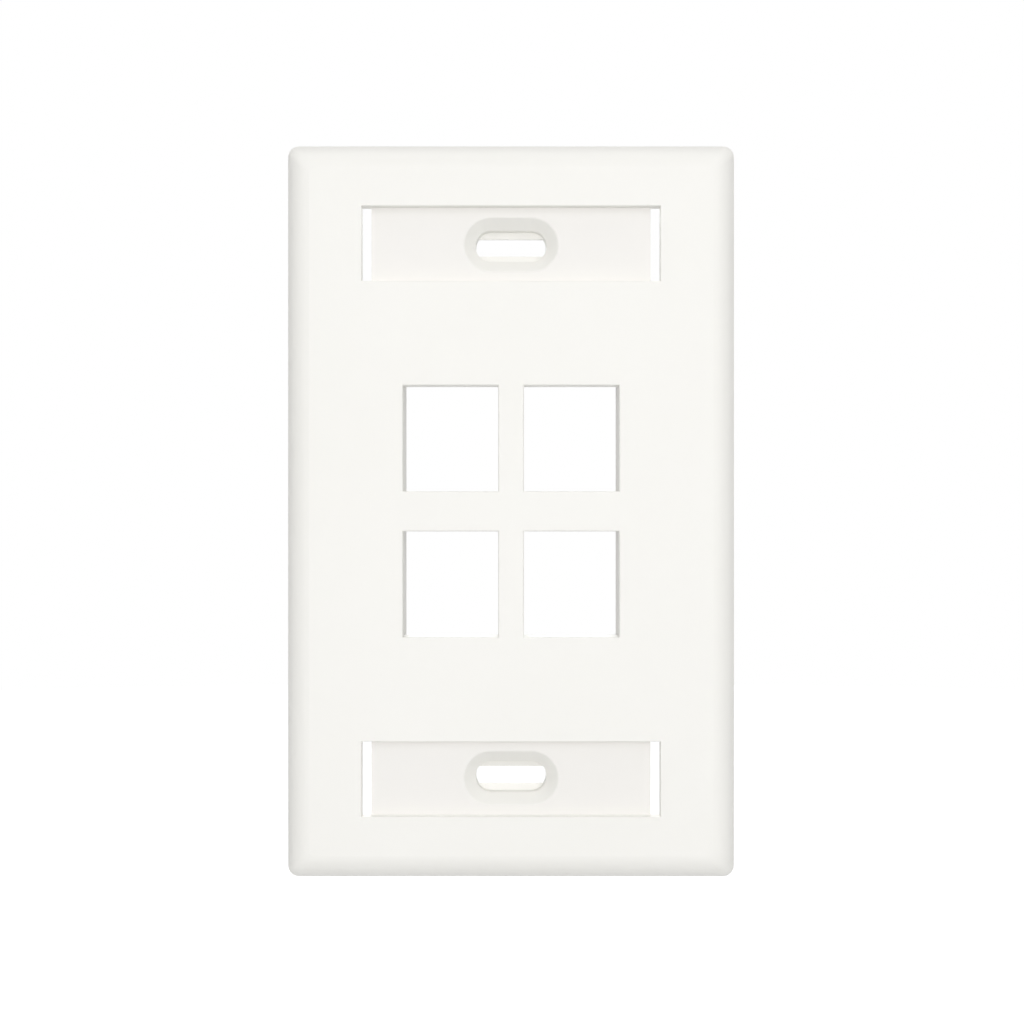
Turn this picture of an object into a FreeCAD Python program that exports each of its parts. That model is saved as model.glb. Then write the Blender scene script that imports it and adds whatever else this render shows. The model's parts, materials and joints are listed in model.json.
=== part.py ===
import FreeCAD, Part

import math
import os

# Single-gang keystone faceplate: one injection-moulded wall plate with four jack ports and two label
# recesses.
#
# The plate stands as it is used on a wall, in millimetres. X runs to the right, Z runs up, and Y runs
# through the plate into the wall. The origin is the middle of the rear rim, on the wall plane (y = 0),
# and the front face looks along -Y. Depths are measured back from the flat front face: behind_face()
# turns such a depth into a Y.

# ---------------------------------------------------------------- outer form
PLATE_WIDTH = 69.85
PLATE_HEIGHT = 114.3
PLATE_DEPTH = 6.35  # wall plane to front face
CORNER_RADIUS = 1.7  # corner of the outline, seen from the front
FACE_CORNER_RADIUS = 0.8  # the same corner where the rolled border meets the flat face
ROLL_WIDTH = 3.5  # how far the rolled border reaches in from the outline
ROLL_ANGLE = 60.0  # slope of the border where it meets the side wall, in degrees
DRAFT_ANGLE = 0.5  # release angle of the side walls, in degrees
FACE_WALL = 2.4  # thickness of the front wall
RIM_WALL = 1.9  # thickness of the side walls at the wall plane
HOLLOW_CORNER_RADIUS = 1.0  # inside corners of the hollow back

# ------------------------------------------------- label recesses and screw slots
SCREW_SPACING = 83.34  # between the screw slots of a single-gang wall box
LABEL_WIDTH = 46.5
LABEL_HEIGHT = 11.7
LABEL_DEPTH = 1.5
LABEL_WALL_SLOPE = 0.1  # how far the long walls lean in from mouth to floor
LABEL_FLOOR = 2.0  # thickness of the recess floor
TRAY_WALL = 1.2  # wall above and below the recess, behind the face
TRAY_CORNER_RADIUS = 0.8
COVER_SLOT_WIDTH = 1.45  # through slot at each end, for the hooks of a clear label cover
SLOT_WIDTH = 4.9  # at the foot of the countersink
SLOT_LENGTH = 11.2
SLOT_TAPER = 0.1  # how far the slot's wall leans in from there to the rear of the boss
COUNTERSINK_WIDTH = 8.4
COUNTERSINK_ANGLE = 85.0  # included angle, a little over the 82 degrees of an oval-head screw
BOSS_WALL = 1.1
BOSS_DEPTH = 6.2  # rear end of the screw boss, behind the face
WEB_GAP = 2.7  # between the two webs that grip the screw thread
WEB_THICKNESS = 0.8
WEB_FALL = 0.15  # how much deeper the front of a web lies at its free edge than at its root

# ------------------------------------------------------------- keystone ports
PORT_COLUMNS = 2
PORT_ROWS = 2
PORT_WIDTH = 14.8
PORT_HEIGHT = 16.45
PORT_GAP_X = 4.0  # bar between two columns
PORT_GAP_Z = 6.25  # bar between two rows
COLLAR_WALL = 1.2
COLLAR_DEPTH = 9.9  # face to the rear of the latch ledges
COLLAR_CORNER_RADIUS = 0.8
LEDGE_THICKNESS = 1.7
LEDGE_LEAD_IN = 0.6  # chamfer that guides a jack in from behind
LATCH_STEP = 2.15  # from the opening's top edge up to the latch ledge
LATCH_POCKET = 3.9  # from the opening's top edge up to the pocket's ceiling
LATCH_LIP_DEPTH = 4.0  # rear end of the lip that the latch bears on
LATCH_LIP_WALL = 1.2
HOOK_STEP = 0.6  # from the opening's bottom edge down to the hook ledge
HOOK_SHELF_DEPTH = 6.5  # rear end of the shelf that the fixed hook bears on
CORE_SLOT_WIDTH = 1.5  # slot that thins the bar between two columns

# ------------------------------------------------- ribs and ejector-pin marks
RIB_ROOT = 1.1  # thickness of a rib at the face wall
RIB_TIP = 0.8
RIB_REAR_GAP = 1.1  # from the ribs back to the wall plane
EJECTOR_DIAMETER = 4.0
EJECTOR_MARK_DEPTH = 0.15

# ------------------------------------------------------ rounding of the edges
RECESS_EDGE_RADIUS = 0.15
COUNTERSINK_EDGE_RADIUS = 0.4
PORT_EDGE_RADIUS = 0.25
RIM_EDGE_RADIUS = 0.3
BACK_CHAMFER = 0.25  # rear edges of the collar, the trays and the screw bosses

# ----------------------------------------------------------------- worked out
ROLL_RADIUS = ROLL_WIDTH / math.sin(math.radians(ROLL_ANGLE))
ROLL_DROP = ROLL_RADIUS * (1 - math.cos(math.radians(ROLL_ANGLE)))
DRAFT = math.tan(math.radians(DRAFT_ANGLE))
SHOULDER_WIDTH = PLATE_WIDTH - 2 * DRAFT * (PLATE_DEPTH - ROLL_DROP)  # at the foot of the rolled border
SHOULDER_HEIGHT = PLATE_HEIGHT - 2 * DRAFT * (PLATE_DEPTH - ROLL_DROP)
HOLLOW_WIDTH = PLATE_WIDTH - 2 * RIM_WALL
HOLLOW_HEIGHT = PLATE_HEIGHT - 2 * RIM_WALL
FLOOR_WIDTH = LABEL_WIDTH - 2 * COVER_SLOT_WIDTH
TRAY_HEIGHT = LABEL_HEIGHT + 2 * TRAY_WALL
TRAY_DEPTH = LABEL_DEPTH + LABEL_FLOOR
PORT_PITCH_X = PORT_WIDTH + PORT_GAP_X
PORT_PITCH_Z = PORT_HEIGHT + PORT_GAP_Z
HOOK_POCKET = PORT_GAP_Z - LATCH_POCKET  # a hook pocket opens into the latch pocket of the row below
PORTS_WIDTH = PORT_COLUMNS * PORT_PITCH_X - PORT_GAP_X
PORTS_HEIGHT = PORT_ROWS * PORT_PITCH_Z - PORT_GAP_Z
COLLAR_WIDTH = PORTS_WIDTH + 2 * COLLAR_WALL
COLLAR_TOP = PORTS_HEIGHT / 2 + LATCH_POCKET + COLLAR_WALL
COLLAR_BOTTOM = -PORTS_HEIGHT / 2 - HOOK_POCKET - COLLAR_WALL
RIB_DEPTH = PLATE_DEPTH - RIB_REAR_GAP

ROLL_SECTIONS = 7  # cross-sections that the rolled border is lofted through
OVERRUN = 1.0  # how far cutters reach past the faces that they open
TOUCH = 1e-4  # tolerance when edges are picked by their place


def behind_face(depth):
    """The Y value of a depth measured back from the front face."""
    return depth - PLATE_DEPTH


def slab(x_low, x_high, z_low, z_high, front_depth, rear_depth):
    """A block given by its sides and by two depths behind the face."""
    corner = FreeCAD.Vector(x_low, behind_face(front_depth), z_low)
    return Part.makeBox(x_high - x_low, rear_depth - front_depth, z_high - z_low, corner)


def rounded_rectangle(width, height, radius, centre_z, y):
    """A closed outline in a plane across Y, with an arc at each corner."""
    arcs = []
    for side_x, side_z, start in ((1, 1, 0), (-1, 1, 90), (-1, -1, 180), (1, -1, 270)):
        centre_x = side_x * (width / 2 - radius)
        arc_centre_z = centre_z + side_z * (height / 2 - radius)
        points = []
        for turn in (0, 45, 90):
            angle = math.radians(start + turn)
            x = centre_x + radius * math.cos(angle)
            z = arc_centre_z + radius * math.sin(angle)
            points.append(FreeCAD.Vector(x, y, z))
        arcs.append(points)
    edges = []
    for arc, following in zip(arcs, arcs[1:] + arcs[:1]):
        edges.append(Part.Arc(*arc).toShape())
        edges.append(Part.LineSegment(arc[2], following[0]).toShape())
    return Part.Wire(edges)


def stadium(length, width, centre_z, y):
    """The outline of a slot that runs along X and has round ends."""
    reach = length / 2 - width / 2
    top = centre_z + width / 2
    bottom = centre_z - width / 2
    right_end = Part.Arc(
        FreeCAD.Vector(reach, y, bottom),
        FreeCAD.Vector(length / 2, y, centre_z),
        FreeCAD.Vector(reach, y, top),
    )
    left_end = Part.Arc(
        FreeCAD.Vector(-reach, y, top),
        FreeCAD.Vector(-length / 2, y, centre_z),
        FreeCAD.Vector(-reach, y, bottom),
    )
    upper = Part.LineSegment(FreeCAD.Vector(reach, y, top), FreeCAD.Vector(-reach, y, top))
    lower = Part.LineSegment(FreeCAD.Vector(-reach, y, bottom), FreeCAD.Vector(reach, y, bottom))
    return Part.Wire([right_end.toShape(), upper.toShape(), left_end.toShape(), lower.toShape()])


def prism(outline, length):
    """Extrudes a closed outline towards the wall."""
    return Part.Face(outline).extrude(FreeCAD.Vector(0, length, 0))


def raised_pad(outline, rear_depth):
    """A pad on the back of the face wall, with its rear edge chamfered."""
    pad = prism(outline, rear_depth - FACE_WALL)
    rear_edges = [edge for edge in pad.Edges if edge.BoundBox.YMin > behind_face(rear_depth) - TOUCH]
    return pad.makeChamfer(BACK_CHAMFER, rear_edges)


def across_x(profile, x_low, x_high):
    """Extrudes a closed profile of (depth, z) points from x_low to x_high."""
    points = [FreeCAD.Vector(x_low, behind_face(depth), z) for depth, z in profile]
    face = Part.Face(Part.makePolygon(points + points[:1]))
    return face.extrude(FreeCAD.Vector(x_high - x_low, 0, 0))


def along_z(profile, z_low, z_high):
    """Extrudes a closed profile of (x, depth) points from z_low to z_high."""
    points = [FreeCAD.Vector(x, behind_face(depth), z_low) for x, depth in profile]
    face = Part.Face(Part.makePolygon(points + points[:1]))
    return face.extrude(FreeCAD.Vector(0, 0, z_high - z_low))


# ------------------------------------------------------------------ outer form
def side_block():
    """The side walls: a solid block with drafted sides, from the wall plane to the rolled border."""
    rear = rounded_rectangle(PLATE_WIDTH, PLATE_HEIGHT, CORNER_RADIUS, 0, 0)
    shoulder = rounded_rectangle(SHOULDER_WIDTH, SHOULDER_HEIGHT, CORNER_RADIUS, 0, behind_face(ROLL_DROP))
    return Part.makeLoft([rear, shoulder], True, True)


def rolled_border():
    """The convex front edge: an arc in section, carried round the plate through softened mitre corners."""
    sections = []
    for step in range(ROLL_SECTIONS):
        slope = math.radians(ROLL_ANGLE) * (1 - step / (ROLL_SECTIONS - 1))
        inset = ROLL_WIDTH - ROLL_RADIUS * math.sin(slope)
        depth = ROLL_RADIUS * (1 - math.cos(slope))
        radius = CORNER_RADIUS + (FACE_CORNER_RADIUS - CORNER_RADIUS) * inset / ROLL_WIDTH
        width = SHOULDER_WIDTH - 2 * inset
        height = SHOULDER_HEIGHT - 2 * inset
        sections.append(rounded_rectangle(width, height, radius, 0, behind_face(depth)))
    return Part.makeLoft(sections, True, False)


def hollow():
    """The hollow back, open to the wall and drafted like the sides."""
    narrowing = 2 * DRAFT * (PLATE_DEPTH - FACE_WALL)
    rear = rounded_rectangle(HOLLOW_WIDTH, HOLLOW_HEIGHT, HOLLOW_CORNER_RADIUS, 0, 0)
    front = rounded_rectangle(
        HOLLOW_WIDTH - narrowing, HOLLOW_HEIGHT - narrowing, HOLLOW_CORNER_RADIUS, 0, behind_face(FACE_WALL)
    )
    return Part.makeLoft([rear, front], True, True)


# ------------------------------------------------------ label recess, screw slot
def label_tray(centre_z):
    """The thickened wall behind a recess, which carries its floor from one cover slot to the other."""
    y = behind_face(FACE_WALL)
    outline = rounded_rectangle(FLOOR_WIDTH, TRAY_HEIGHT, TRAY_CORNER_RADIUS, centre_z, y)
    return raised_pad(outline, TRAY_DEPTH)


def label_recess(centre_z):
    """Cutter for the shallow recess that takes a paper label and its clear cover."""
    mouth = LABEL_HEIGHT / 2
    floor = mouth - LABEL_WALL_SLOPE
    profile = [
        (-OVERRUN, centre_z - mouth),
        (0, centre_z - mouth),
        (LABEL_DEPTH, centre_z - floor),
        (LABEL_DEPTH, centre_z + floor),
        (0, centre_z + mouth),
        (-OVERRUN, centre_z + mouth),
    ]
    return across_x(profile, -LABEL_WIDTH / 2, LABEL_WIDTH / 2)


def cover_slots(centre_z):
    """Cutters for the two through slots, one at each end of a recess."""
    half = LABEL_HEIGHT / 2 - LABEL_WALL_SLOPE
    inner = FLOOR_WIDTH / 2
    outer = LABEL_WIDTH / 2
    rear = TRAY_DEPTH + OVERRUN
    return [
        slab(-outer, -inner, centre_z - half, centre_z + half, 0, rear),
        slab(inner, outer, centre_z - half, centre_z + half, 0, rear),
    ]


def screw_boss(centre_z):
    """The oval boss behind the recess floor, round the screw slot."""
    length = SLOT_LENGTH + 2 * BOSS_WALL
    width = SLOT_WIDTH + 2 * BOSS_WALL
    return raised_pad(stadium(length, width, centre_z, behind_face(FACE_WALL)), BOSS_DEPTH)


def thread_webs(centre_z):
    """Two webs across the slot, above and below, that hold a screw captive by its thread."""
    root = SLOT_WIDTH / 2 + OVERRUN
    lip = WEB_GAP / 2
    fall = WEB_FALL * (root - lip) / (SLOT_WIDTH / 2 - lip)
    front = BOSS_DEPTH - WEB_THICKNESS
    webs = []
    for side in (-1, 1):
        profile = [
            (front - fall, centre_z + side * root),
            (front, centre_z + side * lip),
            (BOSS_DEPTH, centre_z + side * lip),
            (BOSS_DEPTH, centre_z + side * root),
        ]
        webs.append(across_x(profile, -SLOT_LENGTH, SLOT_LENGTH))
    return webs


def screw_slot(centre_z):
    """Cutter for the slot: an oval countersink, then a slightly tapered hole that the thread webs narrow."""
    sink = (COUNTERSINK_WIDTH - SLOT_WIDTH) / 2
    foot = LABEL_DEPTH + sink / math.tan(math.radians(COUNTERSINK_ANGLE / 2))
    mouth = stadium(SLOT_LENGTH + 2 * sink, COUNTERSINK_WIDTH, centre_z, behind_face(LABEL_DEPTH))
    neck = stadium(SLOT_LENGTH, SLOT_WIDTH, centre_z, behind_face(foot))
    narrowing = 2 * SLOT_TAPER
    rear = stadium(SLOT_LENGTH - narrowing, SLOT_WIDTH - narrowing, centre_z, behind_face(BOSS_DEPTH))
    countersink = Part.makeLoft([mouth, neck], True, True)
    hole = Part.makeLoft([neck, rear], True, True).cut(thread_webs(centre_z))
    return countersink.fuse(hole)


# ------------------------------------------------------------------ jack ports
def port_centres():
    """The middle of each port, row by row from the top left."""
    centres = []
    for row in range(PORT_ROWS):
        for column in range(PORT_COLUMNS):
            x = (column - (PORT_COLUMNS - 1) / 2) * PORT_PITCH_X
            z = ((PORT_ROWS - 1) / 2 - row) * PORT_PITCH_Z
            centres.append((x, z))
    return centres


def collar():
    """The block that the ports are cut into. It passes the wall plane and stands in the wall box."""
    height = COLLAR_TOP - COLLAR_BOTTOM
    centre_z = (COLLAR_TOP + COLLAR_BOTTOM) / 2
    outline = rounded_rectangle(COLLAR_WIDTH, height, COLLAR_CORNER_RADIUS, centre_z, behind_face(FACE_WALL))
    return raised_pad(outline, COLLAR_DEPTH)


def port_channel(x, z):
    """Cutter for one jack port, as a section through its lips, pockets and ledges.

    A jack goes in from behind. Its fixed hook drops into the lower pocket and its latch snaps up into the
    upper one, so that it is held between the shelf and lip in front and the two ledges behind.
    """
    top = z + PORT_HEIGHT / 2
    bottom = z - PORT_HEIGHT / 2
    ledge_front = COLLAR_DEPTH - LEDGE_THICKNESS
    lead_in_start = COLLAR_DEPTH - LEDGE_LEAD_IN
    beyond = COLLAR_DEPTH + OVERRUN
    lower_side = [
        (-OVERRUN, bottom),
        (HOOK_SHELF_DEPTH, bottom),
        (HOOK_SHELF_DEPTH, bottom - HOOK_POCKET),
        (ledge_front, bottom - HOOK_POCKET),
        (ledge_front, bottom - HOOK_STEP),
        (lead_in_start, bottom - HOOK_STEP),
        (COLLAR_DEPTH, bottom - HOOK_STEP - LEDGE_LEAD_IN),
        (beyond, bottom - HOOK_STEP - LEDGE_LEAD_IN),
    ]
    upper_side = [
        (beyond, top + LATCH_STEP + LEDGE_LEAD_IN),
        (COLLAR_DEPTH, top + LATCH_STEP + LEDGE_LEAD_IN),
        (lead_in_start, top + LATCH_STEP),
        (ledge_front, top + LATCH_STEP),
        (ledge_front, top + LATCH_POCKET),
        (FACE_WALL, top + LATCH_POCKET),
        (FACE_WALL, top + LATCH_LIP_WALL),
        (LATCH_LIP_DEPTH, top + LATCH_LIP_WALL),
        (LATCH_LIP_DEPTH, top),
        (-OVERRUN, top),
    ]
    return across_x(lower_side + upper_side, x - PORT_WIDTH / 2, x + PORT_WIDTH / 2)


def core_slots():
    """Cutters that split each bar between two columns into a pair of even walls."""
    half = CORE_SLOT_WIDTH / 2
    low = COLLAR_BOTTOM + COLLAR_WALL
    high = COLLAR_TOP - COLLAR_WALL
    cutters = []
    for gap in range(1, PORT_COLUMNS):
        x = (gap - PORT_COLUMNS / 2) * PORT_PITCH_X
        cutters.append(slab(x - half, x + half, low, high, FACE_WALL, COLLAR_DEPTH + OVERRUN))
    return cutters


# ------------------------------------------------------------- ribs, pin marks
def ribs():
    """Tapered stiffening ribs: two down the plate, and short ones that tie the collar to the sides."""
    root = RIB_ROOT / 2
    section = [(FACE_WALL, -root), (RIB_DEPTH, -RIB_TIP / 2), (RIB_DEPTH, RIB_TIP / 2), (FACE_WALL, root)]
    rail = (COLLAR_WIDTH - COLLAR_WALL) / 2
    made = []
    for side in (-1, 1):
        x = side * rail
        upright = [(x + offset, depth) for depth, offset in section]
        made.append(along_z(upright, -HOLLOW_HEIGHT / 2, HOLLOW_HEIGHT / 2))
        for z in (COLLAR_TOP - root, (COLLAR_TOP + COLLAR_BOTTOM) / 2, COLLAR_BOTTOM + root):
            crosswise = [(depth, z + offset) for depth, offset in section]
            made.append(across_x(crosswise, x, side * HOLLOW_WIDTH / 2))
    return made


def ejector_marks():
    """Cutters for the shallow round marks that ejector pins leave on the back of the face."""
    beside_collar = (COLLAR_WIDTH + HOLLOW_WIDTH) / 4
    above_collar = (COLLAR_TOP + SCREW_SPACING / 2 - TRAY_HEIGHT / 2) / 2
    below_collar = (COLLAR_BOTTOM - SCREW_SPACING / 2 + TRAY_HEIGHT / 2) / 2
    beyond_tray = (SCREW_SPACING + TRAY_HEIGHT + HOLLOW_HEIGHT) / 4
    places = [(0, above_collar), (0, below_collar)]
    for side in (-1, 1):
        for z in (beyond_tray, COLLAR_TOP / 2, COLLAR_BOTTOM / 2, -beyond_tray):
            places.append((side * beside_collar, z))
    marks = []
    for x, z in places:
        base = FreeCAD.Vector(x, behind_face(FACE_WALL - EJECTOR_MARK_DEPTH), z)
        length = EJECTOR_MARK_DEPTH + OVERRUN
        marks.append(Part.makeCylinder(EJECTOR_DIAMETER / 2, length, base, FreeCAD.Vector(0, 1, 0)))
    return marks


# ------------------------------------------------------------ rounding of edges
def edges_in(shape, low, high):
    """The edges of a shape that lie wholly inside the box between two corners."""
    box = FreeCAD.BoundBox(*low, *high)
    box.enlarge(TOUCH)
    return [edge for edge in shape.Edges if box.isInside(edge.BoundBox)]


def edges_on(shape, y, x_reach, z_low, z_high):
    """The edges of a shape that lie in one plane across Y, within a rectangle."""
    return edges_in(shape, (-x_reach, y, z_low), (x_reach, y, z_high))


def soften(shape):
    """Rounds the edges that a finger meets: the mouths of the ports and recesses, and the rim."""
    face_y = behind_face(0)
    mouths = edges_on(shape, face_y, PORTS_WIDTH / 2, -PORTS_HEIGHT / 2, PORTS_HEIGHT / 2)
    shape = shape.makeFillet(PORT_EDGE_RADIUS, mouths)
    for centre_z in (SCREW_SPACING / 2, -SCREW_SPACING / 2):
        low = centre_z - LABEL_HEIGHT / 2
        high = centre_z + LABEL_HEIGHT / 2
        shape = shape.makeFillet(RECESS_EDGE_RADIUS, edges_on(shape, face_y, LABEL_WIDTH / 2, low, high))
        sink_reach = (SLOT_LENGTH + COUNTERSINK_WIDTH - SLOT_WIDTH) / 2
        low = centre_z - COUNTERSINK_WIDTH / 2
        high = centre_z + COUNTERSINK_WIDTH / 2
        mouth = edges_on(shape, behind_face(LABEL_DEPTH), sink_reach, low, high)
        shape = shape.makeFillet(COUNTERSINK_EDGE_RADIUS, mouth)
    rim = edges_on(shape, 0, PLATE_WIDTH / 2, -PLATE_HEIGHT / 2, PLATE_HEIGHT / 2)
    return shape.makeFillet(RIM_EDGE_RADIUS, rim)


def faceplate():
    """The whole moulding as one solid."""
    plate = side_block().fuse(rolled_border()).cut(hollow())
    added = [collar()] + ribs()
    cutters = [port_channel(x, z) for x, z in port_centres()] + core_slots() + ejector_marks()
    for centre_z in (SCREW_SPACING / 2, -SCREW_SPACING / 2):
        added += [label_tray(centre_z), screw_boss(centre_z)]
        cutters += [label_recess(centre_z), screw_slot(centre_z)] + cover_slots(centre_z)
    plate = plate.fuse(added).cut(cutters)
    return soften(plate.removeSplitter())


def main():
    os.makedirs("parts", exist_ok=True)
    shape = faceplate()
    print("solids", len(shape.Solids), "valid", shape.isValid(), "volume mm3", round(shape.Volume, 1))
    shape.exportStep("parts/faceplate.step")


main()
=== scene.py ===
import json
import math

import bpy
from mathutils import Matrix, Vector


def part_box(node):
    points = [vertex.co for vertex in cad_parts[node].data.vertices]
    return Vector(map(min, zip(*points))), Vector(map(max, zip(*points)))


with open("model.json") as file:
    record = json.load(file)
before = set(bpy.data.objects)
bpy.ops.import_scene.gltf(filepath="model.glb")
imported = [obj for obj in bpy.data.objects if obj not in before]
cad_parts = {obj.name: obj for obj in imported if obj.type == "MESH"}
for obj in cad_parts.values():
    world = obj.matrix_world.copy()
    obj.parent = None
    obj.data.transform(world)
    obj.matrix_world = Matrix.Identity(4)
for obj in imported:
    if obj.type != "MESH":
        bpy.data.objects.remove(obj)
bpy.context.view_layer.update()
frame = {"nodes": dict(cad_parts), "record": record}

MM = 0.001

# ------------------------------------------------------------ sizes and places
FACE_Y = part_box("faceplate")[0][1]  # the flat front face looks along -Y
MOUNTS = {mount["name"]: mount for mount in frame["record"]["mounts"]}
RECESS_FLOOR_Y, RECESS_Z = MOUNTS["label_recess_upper"]["pos_m"][1:]  # the lower recess mirrors this one
RECESS_WIDTH = 46.5 * MM
RECESS_HEIGHT = 11.7 * MM
FLOOR_LAYER_FRONT = 0.05 * MM  # how far the painted shade on the recess floors reaches in front of them
FLOOR_LAYER_BEHIND = 0.02 * MM
CAMERA_DISTANCE = 300 * MM  # from the lens to the front face
CAMERA_FIELD = 159.2 * MM  # width of the view at the front face
CAMERA_X = 0.15 * MM
CAMERA_Z = -0.1 * MM
CAMERA_CLIP = 10 * MM
SENSOR_WIDTH = 36  # in millimetres, as Blender gives a sensor and a lens
STUDIO_FLOOR_Z = -250 * MM
STUDIO_FLOOR_RADIUS = 2500 * MM
STUDIO_FLOOR_SIDES = 96

# ----------------------------------------------------------- plastic's finish and painted shade
WHITE_DARKER = (0.922, 0.912, 0.872, 1)
WHITE_LIGHTER = (0.937, 0.927, 0.89, 1)
RECESS_PAINTED_SHADE = (0.962, 0.953, 0.958, 1)  # painted shade that multiplies the white on the recess floors
DRIFT_SCALE = 22  # of the slow change between the two whites
DRIFT_DETAIL = 3
DRIFT_LOW, DRIFT_HIGH = 0.3, 0.7  # the noise values at which the plastic is wholly one white or the other
GRAIN_SCALE = 2600  # of the moulded texture
GRAIN_DETAIL = 2
GRAIN_STRENGTH = 0.15
GRAIN_DEPTH = 0.01 * MM
ROUGHNESS_LOW = 0.38
ROUGHNESS_HIGH = 0.5

# -------------------------------------------------------------------- lighting
STUDIO_FLOOR_COLOUR = (0.8, 0.8, 0.8, 1)
STUDIO_FLOOR_GLOW = 0.8  # brings the lit floor up to white where it is seen, and leaves its shadows
FRONT_LIGHT = 0.45  # the world's light from in front of the plate
REAR_LIGHT = 0.2  # and from behind it
# Each lamp's name, place in metres, width in metres and power in watts.
LAMPS = (
    ("front_softbox", (0, -1.2, 0.05), 0.5, 4.1),
    ("right_softbox", (0.55, -0.9, 0.55), 0.6, 2.0),
    ("left_softbox", (-0.55, -0.9, 0.55), 0.6, 1.1),
    ("top_softbox", (0, -0.35, 0.95), 0.6, 1.2),
    ("rear_softbox", (0, 1.1, 0.45), 0.5, 2.8),
)


# ----------------------------------------------------------------------- nodes
def new_material(name):
    """A material with an empty node tree and its output."""
    material = bpy.data.materials.new(name)
    material.use_nodes = True
    nodes = material.node_tree.nodes
    nodes.clear()
    output = nodes.new("ShaderNodeOutputMaterial")
    return material, nodes, material.node_tree.links, output


def feed(links, value, socket):
    """Gives an input its value, which is a number or another node's output."""
    if isinstance(value, bpy.types.NodeSocket):
        links.new(value, socket)
    else:
        socket.default_value = value


def math_node(nodes, links, operation, first, second):
    """One step of arithmetic. Each input is a socket or a number."""
    node = nodes.new("ShaderNodeMath")
    node.operation = operation
    feed(links, first, node.inputs[0])
    feed(links, second, node.inputs[1])
    return node.outputs["Value"]


def noise(nodes, links, place, scale, detail):
    """Smooth noise over the object's own coordinates."""
    node = nodes.new("ShaderNodeTexNoise")
    node.inputs["Scale"].default_value = scale
    node.inputs["Detail"].default_value = detail
    links.new(place, node.inputs["Vector"])
    return node.outputs["Fac"]


def where_seen(nodes, links, otherwise, seen):
    """One value to the camera, in reflections and through clear parts, and another in lighting."""
    path = nodes.new("ShaderNodeLightPath")
    direct = path.outputs["Is Camera Ray"]
    for ray in ("Is Glossy Ray", "Is Transmission Ray"):
        direct = math_node(nodes, links, "MAXIMUM", direct, path.outputs[ray])
    value = nodes.new("ShaderNodeMapRange")
    feed(links, otherwise, value.inputs["To Min"])
    feed(links, seen, value.inputs["To Max"])
    links.new(direct, value.inputs["Value"])
    return value.outputs["Result"]


# --------------------------------------------------------------------- plastic
def recess_shade_mask(nodes, links, place):
    """1 on the floors of the two label recesses, where shade is painted, 0 elsewhere."""
    parts = nodes.new("ShaderNodeSeparateXYZ")
    links.new(place, parts.inputs["Vector"])
    depth = parts.outputs["Y"]
    across = math_node(nodes, links, "ABSOLUTE", parts.outputs["X"], 0)
    height = math_node(nodes, links, "ABSOLUTE", parts.outputs["Z"], 0)
    from_centre = math_node(nodes, links, "SUBTRACT", height, RECESS_Z)
    from_centre = math_node(nodes, links, "ABSOLUTE", from_centre, 0)
    in_width = math_node(nodes, links, "LESS_THAN", across, RECESS_WIDTH / 2)
    in_height = math_node(nodes, links, "LESS_THAN", from_centre, RECESS_HEIGHT / 2)
    behind = math_node(nodes, links, "GREATER_THAN", depth, RECESS_FLOOR_Y - FLOOR_LAYER_FRONT)
    in_front = math_node(nodes, links, "LESS_THAN", depth, RECESS_FLOOR_Y + FLOOR_LAYER_BEHIND)
    inside = math_node(nodes, links, "MULTIPLY", in_width, in_height)
    layer = math_node(nodes, links, "MULTIPLY", behind, in_front)
    return math_node(nodes, links, "MULTIPLY", inside, layer)


def plastic_colour(nodes, links, place):
    """A warm white with a trace of colour drift, and painted shade darkening the recess floors."""
    tint = nodes.new("ShaderNodeValToRGB")
    darker, lighter = tint.color_ramp.elements
    darker.position = DRIFT_LOW
    darker.color = WHITE_DARKER
    lighter.position = DRIFT_HIGH
    lighter.color = WHITE_LIGHTER
    links.new(noise(nodes, links, place, DRIFT_SCALE, DRIFT_DETAIL), tint.inputs["Fac"])
    # Painted shade: the white is multiplied darker on the recess floors.
    painted_shade = nodes.new("ShaderNodeMix")
    painted_shade.data_type = "RGBA"
    painted_shade.blend_type = "MULTIPLY"
    links.new(recess_shade_mask(nodes, links, place), painted_shade.inputs["Factor"])
    links.new(tint.outputs["Color"], painted_shade.inputs["A"])
    painted_shade.inputs["B"].default_value = RECESS_PAINTED_SHADE
    return painted_shade.outputs["Result"]


def moulded_white():
    """Satin moulded plastic with a fine grain in its gloss and its surface."""
    material, nodes, links, output = new_material("moulded_white")
    shader = nodes.new("ShaderNodeBsdfPrincipled")
    links.new(shader.outputs["BSDF"], output.inputs["Surface"])
    place = nodes.new("ShaderNodeTexCoord").outputs["Object"]
    links.new(plastic_colour(nodes, links, place), shader.inputs["Base Color"])

    grain = noise(nodes, links, place, GRAIN_SCALE, GRAIN_DETAIL)
    gloss = nodes.new("ShaderNodeMapRange")
    gloss.inputs["To Min"].default_value = ROUGHNESS_LOW
    gloss.inputs["To Max"].default_value = ROUGHNESS_HIGH
    links.new(grain, gloss.inputs["Value"])
    links.new(gloss.outputs["Result"], shader.inputs["Roughness"])
    bump = nodes.new("ShaderNodeBump")
    bump.inputs["Strength"].default_value = GRAIN_STRENGTH
    bump.inputs["Distance"].default_value = GRAIN_DEPTH
    links.new(grain, bump.inputs["Height"])
    links.new(bump.outputs["Normal"], shader.inputs["Normal"])
    return material


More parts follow.
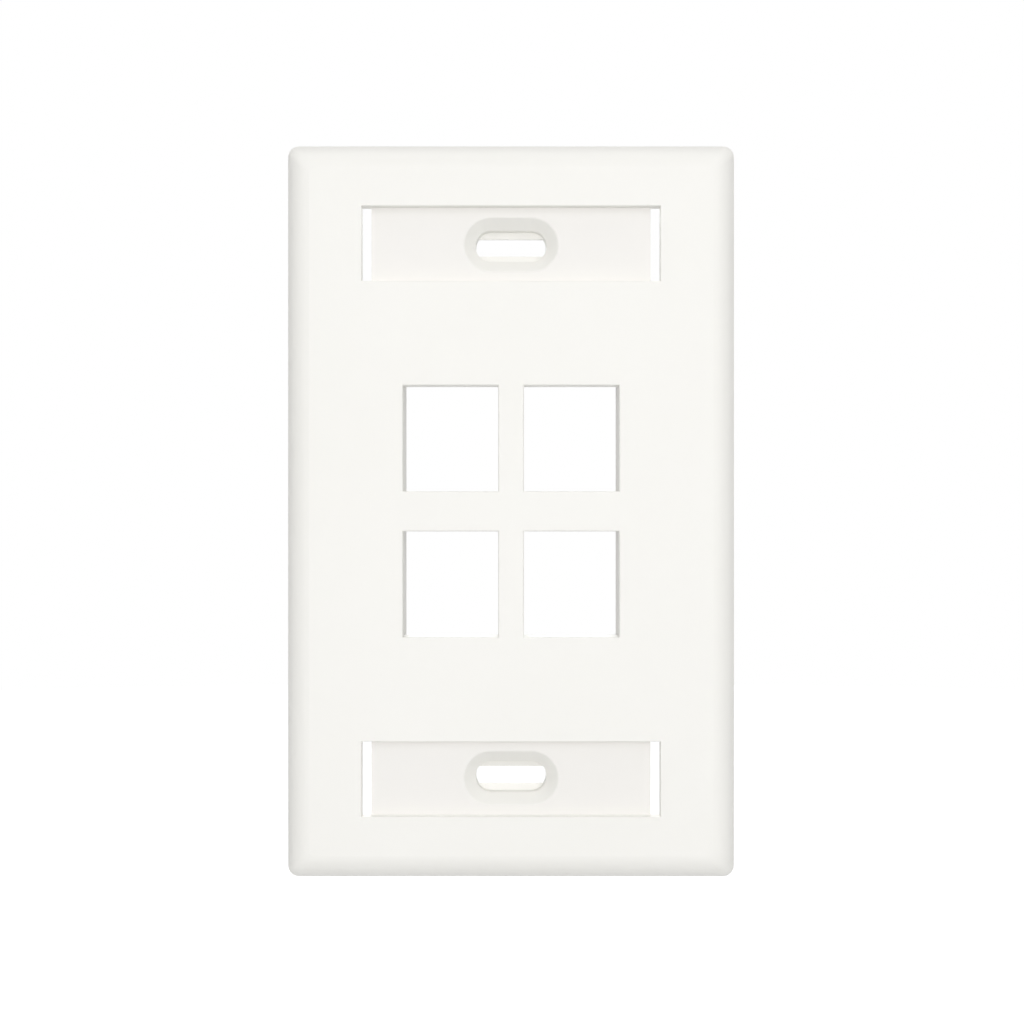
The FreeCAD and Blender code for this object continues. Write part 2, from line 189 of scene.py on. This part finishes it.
# ---------------------------------------------------------------------- studio
def studio_floor_material():
    """Plain pale floor that is seen as white and still takes the plate's shadow."""
    material, nodes, links, output = new_material("studio_floor")
    shader = nodes.new("ShaderNodeBsdfDiffuse")
    shader.inputs["Color"].default_value = STUDIO_FLOOR_COLOUR
    glow = nodes.new("ShaderNodeEmission")
    links.new(where_seen(nodes, links, 0, STUDIO_FLOOR_GLOW), glow.inputs["Strength"])
    both = nodes.new("ShaderNodeAddShader")
    links.new(shader.outputs["BSDF"], both.inputs[0])
    links.new(glow.outputs["Emission"], both.inputs[1])
    links.new(both.outputs["Shader"], output.inputs["Surface"])
    return material


def make_studio_floor():
    """A round floor well below the plate, which is held on its wall mount."""
    bpy.ops.mesh.primitive_circle_add(
        vertices=STUDIO_FLOOR_SIDES,
        radius=STUDIO_FLOOR_RADIUS,
        fill_type="NGON",
        location=(0, 0, STUDIO_FLOOR_Z),
    )
    floor = bpy.context.object
    floor.name = "studio_floor"
    floor.data.materials.append(studio_floor_material())


def make_world():
    """White to the camera and in reflections; a plain soft light on the object, weaker from behind it."""
    world = bpy.data.worlds.new("studio")
    bpy.context.scene.world = world
    world.use_nodes = True
    nodes = world.node_tree.nodes
    links = world.node_tree.links
    nodes.clear()
    direction = nodes.new("ShaderNodeSeparateXYZ")
    links.new(nodes.new("ShaderNodeTexCoord").outputs["Generated"], direction.inputs["Vector"])
    light = nodes.new("ShaderNodeMapRange")
    light.interpolation_type = "SMOOTHSTEP"
    light.inputs["From Min"].default_value = -1  # straight from the front; From Max is 1, from behind
    light.inputs["To Min"].default_value = FRONT_LIGHT
    light.inputs["To Max"].default_value = REAR_LIGHT
    links.new(direction.outputs["Y"], light.inputs["Value"])
    sky = nodes.new("ShaderNodeBackground")
    sky.inputs["Color"].default_value = (1, 1, 1, 1)
    links.new(where_seen(nodes, links, light.outputs["Result"], 1), sky.inputs["Strength"])
    output = nodes.new("ShaderNodeOutputWorld")
    links.new(sky.outputs["Background"], output.inputs["Surface"])


def make_lamp(name, place, width, power):
    """A square soft lamp, aimed at the origin."""
    data = bpy.data.lights.new(name, "AREA")
    data.shape = "SQUARE"
    data.size = width
    data.energy = power
    lamp = bpy.data.objects.new(name, data)
    lamp.location = place
    lamp.rotation_euler = (-Vector(place)).to_track_quat("-Z", "Y").to_euler()
    bpy.context.scene.collection.objects.link(lamp)


def make_camera():
    """A straight-on view of the front face."""
    data = bpy.data.cameras.new("camera")
    data.sensor_width = SENSOR_WIDTH
    data.lens = SENSOR_WIDTH * CAMERA_DISTANCE / CAMERA_FIELD
    data.clip_start = CAMERA_CLIP
    camera = bpy.data.objects.new("camera", data)
    camera.location = (CAMERA_X, FACE_Y - CAMERA_DISTANCE, CAMERA_Z)
    camera.rotation_euler = (math.radians(90), 0, 0)
    bpy.context.scene.collection.objects.link(camera)
    bpy.context.scene.camera = camera


plate = frame["nodes"]["faceplate"]
plate.data.materials.clear()
plate.data.materials.append(moulded_white())

make_studio_floor()
make_world()
make_camera()
for lamp in LAMPS:
    make_lamp(*lamp)
bpy.context.scene.view_settings.view_transform = "Standard"
